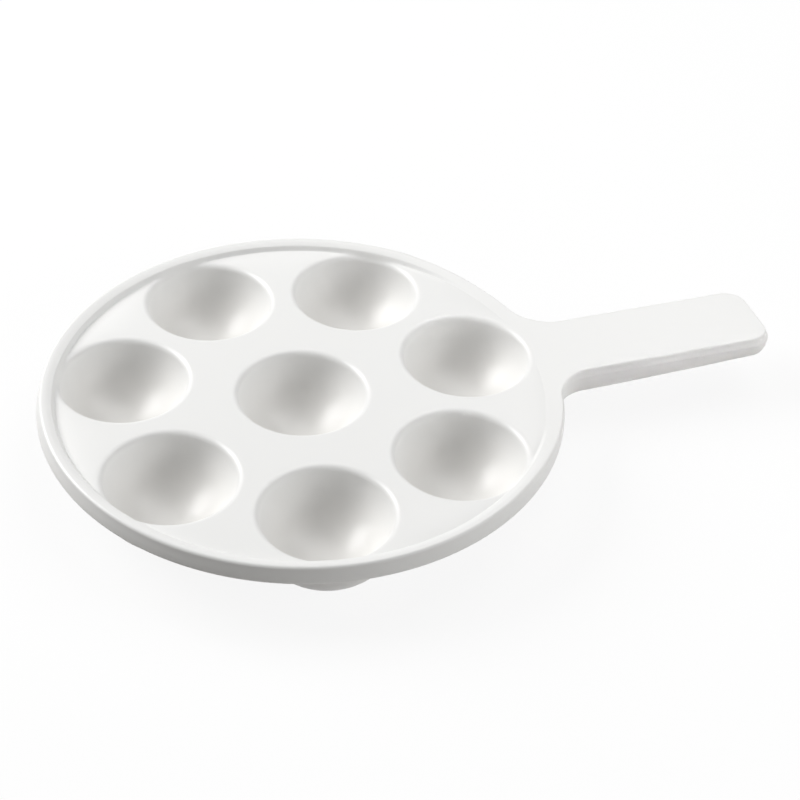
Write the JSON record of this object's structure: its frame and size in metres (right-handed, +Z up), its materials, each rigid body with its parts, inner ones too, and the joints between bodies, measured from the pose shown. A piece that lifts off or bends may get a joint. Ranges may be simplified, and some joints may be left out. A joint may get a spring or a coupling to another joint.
{
  "type": "escargot dish",
  "caption": "Round glazed ceramic serving dish with half-round wells for snails, a low soft rim and a flat straight handle.",
  "frame": {"origin": "on the table, at the centre of the middle well's flat foot, under the plate's axis", "axes": "+X along the handle away from the plate, +Z up"},
  "size_m": [0.2696, 0.1846, 0.0262],
  "materials": {
    "glaze": "soft gloss white glaze"
  },
  "bodies": {
    "root": {"deck": "glaze", "rim": "glaze", "handle": "glaze", "well_centre": "glaze", "well_1": "glaze", "well_2": "glaze", "well_3": "glaze", "well_4": "glaze", "well_5": "glaze", "well_6": "glaze", "well_7": "glaze"}
  },
  "joints": []
}
